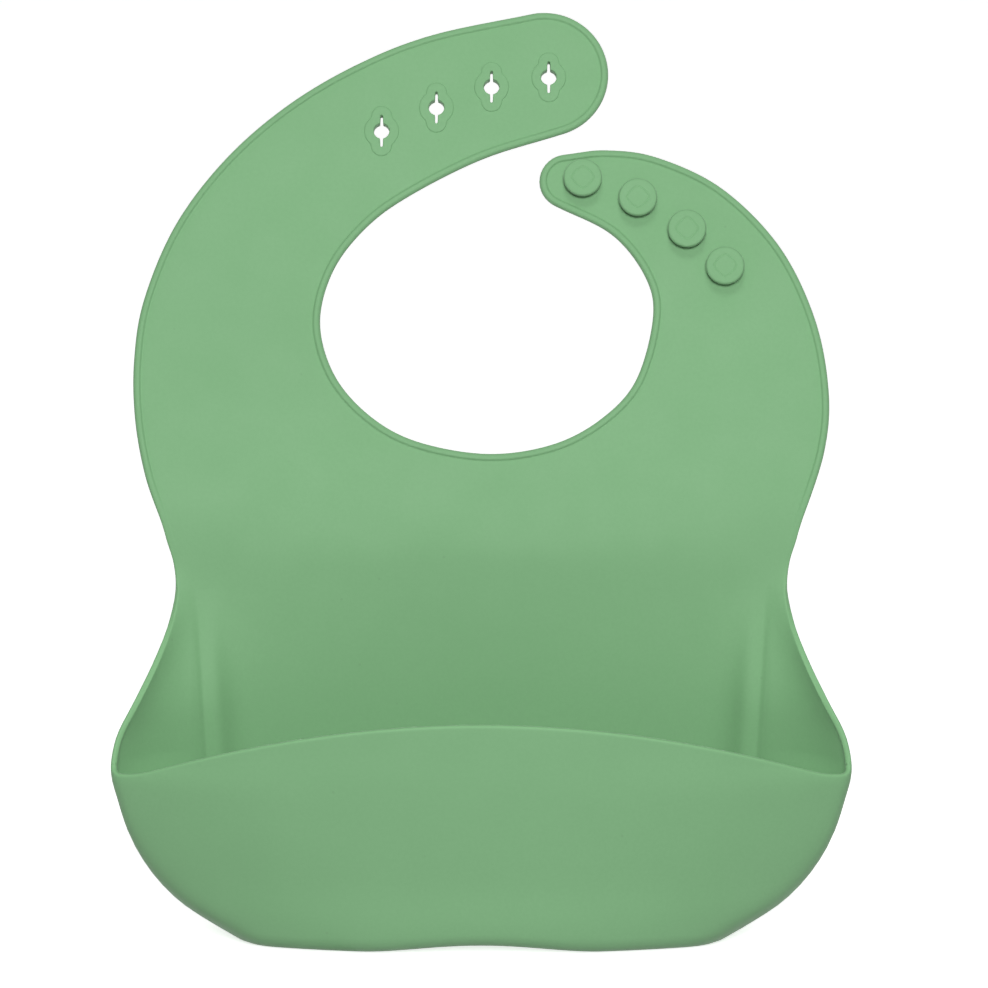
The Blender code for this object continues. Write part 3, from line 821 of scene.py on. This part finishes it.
def distances_to_edge(surface, points):
    """How far each point is from the nearest free edge."""
    samples = []
    for i, j in surface.free_edges:
        count = max(1, int(np.linalg.norm(points[j] - points[i]) / 0.2))
        samples += [points[i] + (points[j] - points[i]) * k / count for k in range(count + 1)]
    tree = KDTree(len(samples))
    for k, place in enumerate(samples):
        tree.insert(place, k)
    tree.balance()
    distances = np.array([tree.find(place)[2] for place in points])
    for i, j in surface.free_edges:
        distances[i] = distances[j] = 0.0
    return distances


def thicknesses(distance, bead):
    """Half thickness in front and behind, by the distance from the edge."""
    reach = 1.0 + (BEAD_PEAK - 1.0) * bead
    power = 2.8 - 0.8 * bead
    inside = np.clip(distance / reach, 0.0, 1.0)
    rounded = (1 - (1 - inside) ** power) ** (1 / power)
    peak = 1.0 + BEAD_HEIGHT * bead
    groove = 1.0 - GROOVE_DEPTH * bead
    falling = smoothstep((distance - BEAD_FALL) / (GROOVE_AT - BEAD_FALL))
    rising = smoothstep((distance - GROOVE_AT) / (GROOVE_END - GROOVE_AT))
    beyond = np.where(distance < GROOVE_AT, peak + (groove - peak) * falling, groove + (1 - groove) * rising)
    front = np.where(distance < reach, peak * rounded, beyond)
    inside = np.clip(distance, 0.0, 1.0)
    back = (1 - (1 - inside) ** power) ** (1 / power)
    return HALF * front, HALF * back


def solid_piece(name, faces, front, back, free, rim):
    """A closed mesh from some of the middle surface's faces."""
    used = sorted({i for corners in faces for i in corners})
    fore = {i: k for k, i in enumerate(used)}
    places = [front[i] for i in used]
    rims = [rim[i] for i in used]
    aft = {}
    for i in used:
        if i in free:
            aft[i] = fore[i]
        else:
            aft[i] = len(places)
            places.append(back[i])
            rims.append(rim[i])
    polygons = [[fore[i] for i in corners] for corners in faces]
    polygons += [[aft[i] for i in reversed(corners)] for corners in faces]
    smooth = [True] * len(polygons)
    directed = {(a, b) for corners in faces for a, b in zip(corners, corners[1:] + corners[:1])}
    for a, b in sorted(directed):
        if (b, a) in directed or (fore[a] == aft[a] and fore[b] == aft[b]):
            continue
        cap = [fore[b], fore[a]]
        cap += [k for k in (aft[a], aft[b]) if k not in cap]
        polygons.append(cap)
        smooth.append(False)
    mesh = bpy.data.meshes.new(name)
    mesh.from_pydata([place * MM for place in places], [], polygons)
    mesh.polygons.foreach_set("use_smooth", smooth)
    sharpen(mesh, {tuple(sorted(pair)) for cap, round_face in zip(polygons, smooth) if not round_face
                   for pair in zip(cap, cap[1:] + cap[:1])})
    # the rim attribute carries the painted edge highlight to the material
    attribute = mesh.attributes.new("rim", "FLOAT", "POINT")
    attribute.data.foreach_set("value", np.array(rims, np.float32))
    mesh.update()
    return add_object(name, mesh)


def sharpen(mesh, pairs):
    """Keeps the shading apart along some of the mesh's edges."""
    ends = np.zeros(2 * len(mesh.edges), int)
    mesh.edges.foreach_get("vertices", ends)
    sharp = [tuple(sorted(pair)) in pairs for pair in ends.reshape(-1, 2).tolist()]
    mesh.edges.foreach_set("use_edge_sharp", sharp)


def add_object(name, mesh):
    obj = bpy.data.objects.new(name, mesh)
    bpy.context.scene.collection.objects.link(obj)
    mesh.materials.append(SILICONE)
    return obj


# ---- the fittings on the straps ---------------
def on_collar(x, s, height):
    """A place above the collar's middle plane, in millimetres."""
    y = WAIST_Y + s * math.sin(COLLAR_LEAN)
    z = WAIST_Z + s * math.cos(COLLAR_LEAN)
    return np.array((x, y, z)) + FRONT * height


def keyhole_plate(number, centre):
    """A raised plate with a keyhole right through the strap, the same on both faces."""
    surface = MiddleSurface()
    flat = {}
    heights = []
    loops = []
    for loop, steps in ((plate_outline(centre), PLATE_STEPS), (keyhole(centre), KEYHOLE_STEPS)):
        inward = -normals_of(loop, True) if steps is PLATE_STEPS else normals_of(loop, True)
        rows = []
        for distance, height in steps:
            row = []
            for place in loop + inward * distance:
                row.append(surface.add(on_collar(place[0], place[1], 0.0)))
                flat[row[-1]] = tuple(place)
                heights.append(height)
            rows.append(row)
        for outer, inner in zip(rows, rows[1:]):
            closed_outer = outer + outer[:1]
            closed_inner = inner + inner[:1]
            surface.quads("plate", closed_outer, closed_inner, steps is KEYHOLE_STEPS)
        loops.append(rows)
    face = PLATE_STEPS[-1][1]

    def lift(places):
        return [on_collar(x, s, 0.0) for x, s in places]

    fill(surface, "plate", loops[0][-1], [loops[1][-1]], flat, lift, PLATE_SPACING)
    heights += [face] * (len(surface.points) - len(heights))
    points = np.array(surface.points)
    raised = np.array(heights)[:, None] * FRONT
    free = set(loops[0][0]) | set(loops[1][0])
    faces = [corners for _, corners in surface.faces]
    rear = points - PLATE_BACK * raised
    obj = solid_piece(f"keyhole_plate_{number}", faces, points + raised, rear, free, np.zeros(len(points)))
    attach(obj, "hole_strap_tip")
    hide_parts(f"hole_plate_{number}")


def stud_profile():
    """The stud's outline from the middle of its face round to inside the sheet: radius and height."""
    top = STUD_TOP
    face = [(r, top) for r in np.concatenate([np.linspace(0.3, 1.5, 5), np.linspace(1.65, 4.2, 18)])]
    edge = [(4.9, top), (5.5, top - 0.02), (5.78, top - 0.1), (5.98, top - 0.26), (6.12, top - 0.5),
            (STUD_RADIUS, top - 0.85), (STUD_RADIUS, top - 1.25), (6.1, top - 1.6), (5.8, top - 1.86),
            (5.4, top - 1.96)]
    under = [(4.6, top - 2.02), (3.8, top - 2.1), (3.25, top - 2.3), (3.0, top - 2.6),
             (STEM_RADIUS, top - 3.0), (STEM_RADIUS, 1.9), (3.0, 1.5), (3.25, 1.2), (3.7, 1.02),
             (4.1, 0.92), (3.6, 0.4)]
    return face + edge + under


def stud(number, centre):
    """A round button on a short stem, with a shallow rounded diamond engraved in its face."""
    segments = STUD_SEGMENTS
    angles = np.linspace(0.0, 2 * math.pi, segments, endpoint=False)
    places = [on_collar(*centre, STUD_TOP)]
    for radius, height in stud_profile():
        for angle in angles:
            x = radius * math.cos(angle)
            y = radius * math.sin(angle)
            drop = 0.0
            if height == STUD_TOP:
                off = (abs(x) ** MARK_POWER + abs(y) ** MARK_POWER) ** (1 / MARK_POWER) - MARK_REACH
                drop = MARK_DEPTH * math.exp(-(off / MARK_WIDTH) ** 2)
            places.append(on_collar(centre[0] + x, centre[1] + y, height - drop))
    rows = len(stud_profile())
    polygons = [[0, 1 + k, 1 + (k + 1) % segments] for k in range(segments)]
    for row in range(rows - 1):
        for k in range(segments):
            near = 1 + row * segments
            far = near + segments
            ahead = (k + 1) % segments
            polygons.append([near + k, far + k, far + ahead, near + ahead])
    last = 1 + (rows - 1) * segments
    polygons.append([last + k for k in reversed(range(segments))])
    mesh = bpy.data.meshes.new(f"stud_button_{number}")
    mesh.from_pydata([place * MM for place in places], [], polygons)
    mesh.polygons.foreach_set("use_smooth", [True] * (len(polygons) - 1) + [False])
    mesh.attributes.new("rim", "FLOAT", "POINT")
    obj = add_object(mesh.name, mesh)
    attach(obj, "stud_strap_tip" if number <= 2 else "stud_strap")
    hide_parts(f"stud_{number}")


# ---- materials --------------------------------
def silicone_material():
    """Soft matte silicone: a faint mottle, fine moulded grain, a little dust, and a painted highlight along
    its edges.
    """
    material = bpy.data.materials.new("green_silicone")
    material.use_nodes = True
    nodes = material.node_tree.nodes
    links = material.node_tree.links
    shader = nodes["Principled BSDF"]
    shader.inputs["Metallic"].default_value = 0.0
    shader.inputs["IOR"].default_value = 1.41
    shader.inputs["Sheen Weight"].default_value = 0.2
    shader.inputs["Sheen Roughness"].default_value = 0.45
    place = nodes.new("ShaderNodeTexCoord").outputs["Object"]

    def noise(scale, detail, roughness=0.5):
        node = nodes.new("ShaderNodeTexNoise")
        node.inputs["Scale"].default_value = scale
        node.inputs["Detail"].default_value = detail
        node.inputs["Roughness"].default_value = roughness
        links.new(place, node.inputs["Vector"])
        return node.outputs["Fac"]

    def spread(value, low, high, to_low, to_high):
        node = nodes.new("ShaderNodeMapRange")
        for name, number in (("From Min", low), ("From Max", high), ("To Min", to_low), ("To Max", to_high)):
            node.inputs[name].default_value = number
        links.new(value, node.inputs["Value"])
        return node.outputs["Result"]

    def mix(factor, first, second):
        node = nodes.new("ShaderNodeMix")
        node.data_type = "RGBA"
        links.new(factor, node.inputs["Factor"])
        for socket, value in (("A", first), ("B", second)):
            target = [i for i in node.inputs if i.name == socket and i.type == "RGBA"][0]
            if isinstance(value, tuple):
                target.default_value = value
            else:
                links.new(value, target)
        return [o for o in node.outputs if o.type == "RGBA"][0]

    def bump(strength, distance, height):
        node = nodes.new("ShaderNodeBump")
        node.inputs["Strength"].default_value = strength
        node.inputs["Distance"].default_value = distance
        links.new(height, node.inputs["Height"])
        return node

    mottle = spread(noise(14.0, 3.0), 0.3, 0.7, 0.0, 1.0)
    colour = mix(mottle, (0.200, 0.425, 0.204, 1.0), (0.209, 0.442, 0.213, 1.0))
    grain = spread(noise(900.0, 2.0), 0.35, 0.65, 0.0, 0.28)
    colour = mix(grain, colour, (0.186, 0.402, 0.190, 1.0))
    # painted highlight: a lighter green along the thin edges, standing in for the light they catch
    rim = nodes.new("ShaderNodeAttribute")
    rim.attribute_name = "rim"
    edge_light_mix = spread(rim.outputs["Fac"], 0.0, 1.0, 0.0, 0.48)
    colour = mix(edge_light_mix, colour, (0.255, 0.540, 0.255, 1.0))
    specks = nodes.new("ShaderNodeTexVoronoi")
    specks.inputs["Scale"].default_value = 90.0
    links.new(place, specks.inputs["Vector"])
    dust = spread(specks.outputs["Distance"], 0.02, 0.05, 0.35, 0.0)
    colour = mix(dust, colour, (0.16, 0.31, 0.16, 1.0))
    links.new(colour, shader.inputs["Base Color"])
    links.new(spread(noise(60.0, 4.0), 0.3, 0.7, 0.63, 0.73), shader.inputs["Roughness"])

    fine = bump(0.12, 0.0001, noise(1600.0, 3.0, 0.6))
    broad = bump(0.25, 0.0006, noise(22.0, 2.0))
    links.new(fine.outputs["Normal"], broad.inputs["Normal"])
    links.new(broad.outputs["Normal"], shader.inputs["Normal"])
    return material


def floor_material():
    material = bpy.data.materials.new("pale_floor")
    material.use_nodes = True
    shader = material.node_tree.nodes["Principled BSDF"]
    shader.inputs["Base Color"].default_value = (0.9, 0.9, 0.9, 1.0)
    shader.inputs["Roughness"].default_value = 0.8
    shader.inputs["Specular IOR Level"].default_value = 0.2
    shader.inputs["Emission Color"].default_value = (1.0, 1.0, 1.0, 1.0)
    shader.inputs["Emission Strength"].default_value = 0.7
    return material


# ---- stage ------------------------------------
FRONT_AMBIENT = 0.15                # strength of the surround in front of the bib
LIT_PLACE = (0.0, 0.0, 0.13)        # where the lights point, in metres
CAMERA_TARGET = (0.004, FOOT_Y * MM, 0.1393)
CAMERA_DISTANCE = 1.4
CAMERA_RISE = math.radians(8.0)
CAMERA_SENSOR = 36.0
CAMERA_LENS = 159.4


def build_stage():
    bpy.ops.mesh.primitive_plane_add(size=60.0)
    floor = bpy.context.object
    floor.name = "floor"
    floor.visible_diffuse = False
    floor.data.materials.append(floor_material())
    bpy.context.scene.world = studio_world()
    bpy.context.scene.view_settings.view_transform = "Standard"
    area_light("front_softbox", (0.08, -1.85, 0.74), 0.5, 27.5)
    area_light("top_softbox", (0.0, -0.9, 1.6), 0.6, 5.5)


def studio_world():
    """White behind the bib and overhead, dimmer in front of it, where the softbox stands."""
    world = bpy.data.worlds.new("white_studio")
    world.use_nodes = True
    nodes = world.node_tree.nodes
    links = world.node_tree.links
    direction = nodes.new("ShaderNodeTexCoord").outputs["Generated"]
    parts = nodes.new("ShaderNodeSeparateXYZ")
    links.new(direction, parts.inputs["Vector"])
    strength = nodes.new("ShaderNodeMapRange")
    strength.interpolation_type = "SMOOTHSTEP"
    strength.inputs["From Min"].default_value = 0.25
    strength.inputs["From Max"].default_value = 0.8
    strength.inputs["To Min"].default_value = FRONT_AMBIENT
    strength.inputs["To Max"].default_value = 1.0
    links.new(parts.outputs["Y"], strength.inputs["Value"])
    links.new(strength.outputs["Result"], nodes["Background"].inputs["Strength"])
    nodes["Background"].inputs["Color"].default_value = (1.0, 1.0, 1.0, 1.0)
    return world


def area_light(name, place, size, power):
    data = bpy.data.lights.new(name, "AREA")
    data.shape = "DISK"
    data.size = size
    data.energy = power
    light = bpy.data.objects.new(name, data)
    light.location = place
    light.rotation_euler = (Vector(LIT_PLACE) - Vector(place)).to_track_quat("-Z", "Y").to_euler()
    bpy.context.scene.collection.objects.link(light)


def build_camera():
    target = Vector(CAMERA_TARGET)
    back = Vector((0.0, -math.cos(CAMERA_RISE), math.sin(CAMERA_RISE)))
    camera = bpy.data.objects.new("camera", bpy.data.cameras.new("camera"))
    camera.location = target + back * CAMERA_DISTANCE
    camera.rotation_euler = (target - camera.location).to_track_quat("-Z", "Y").to_euler()
    camera.data.sensor_width = CAMERA_SENSOR
    camera.data.lens = CAMERA_LENS
    bpy.context.scene.collection.objects.link(camera)
    bpy.context.scene.camera = camera


def build_bib():
    surface = MiddleSurface()
    back, top_flat = build_pocket(surface)
    Collar(surface, back, top_flat).build()
    points = np.array(surface.points)
    normals = vertex_normals(points, [corners for _, corners in surface.faces])
    distance = distances_to_edge(surface, points)
    fore, aft = thicknesses(distance, np.array(surface.bead))
    front = points + normals * fore[:, None]
    rear = points - normals * aft[:, None]
    free = {i for edge in surface.free_edges for i in edge}
    # painted highlight: lighter colour near the free edges, less of it on the bead
    painted_edge_light = 1.0 - smoothstep((distance - EDGE_LIGHT_START) / EDGE_LIGHT_WIDTH)
    rim = painted_edge_light * (1.0 - BEAD_EDGE_LIGHT_CUT * np.array(surface.bead))

    def piece(name, key):
        faces = [corners for k, corners in surface.faces if k == key]
        return solid_piece(name, faces, front, rear, free, rim)

    pocket = piece("pocket_shell", "pocket")
    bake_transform(pocket)
    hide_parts("lower_panel", "pocket_base", "pocket_front_wall", "pocket_lip", "pocket_corner_left",
                "pocket_corner_right", "pocket_side_left", "pocket_side_right")
    collar = piece("collar_panel", "collar")
    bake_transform(collar)
    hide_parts("upper_panel", "neck_bead", "side_bead_left", "side_bead_right")
    for side, line, reach, seam in (
            ("hole", HOLE_TIP_LINE, HOLE_BEND, 78.0), ("stud", STUD_TIP_LINE, STUD_BEND, 76.0)):
        strap = side + "_strap"
        root = piece(strap + "_root", side + "_root")
        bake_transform(root)
        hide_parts(strap, strap + "_bead_outer", strap + "_bead_inner")
        end = piece(strap + "_end", side + "_end")
        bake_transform(end)
        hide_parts(strap + "_tip", strap + "_tip_bead")


SILICONE = silicone_material()
build_stage()
build_camera()
build_bib()
for index, middle in enumerate(HOLE_PLATES, 1):
    keyhole_plate(index, middle)
for index, middle in enumerate(STUDS, 1):
    stud(index, middle)
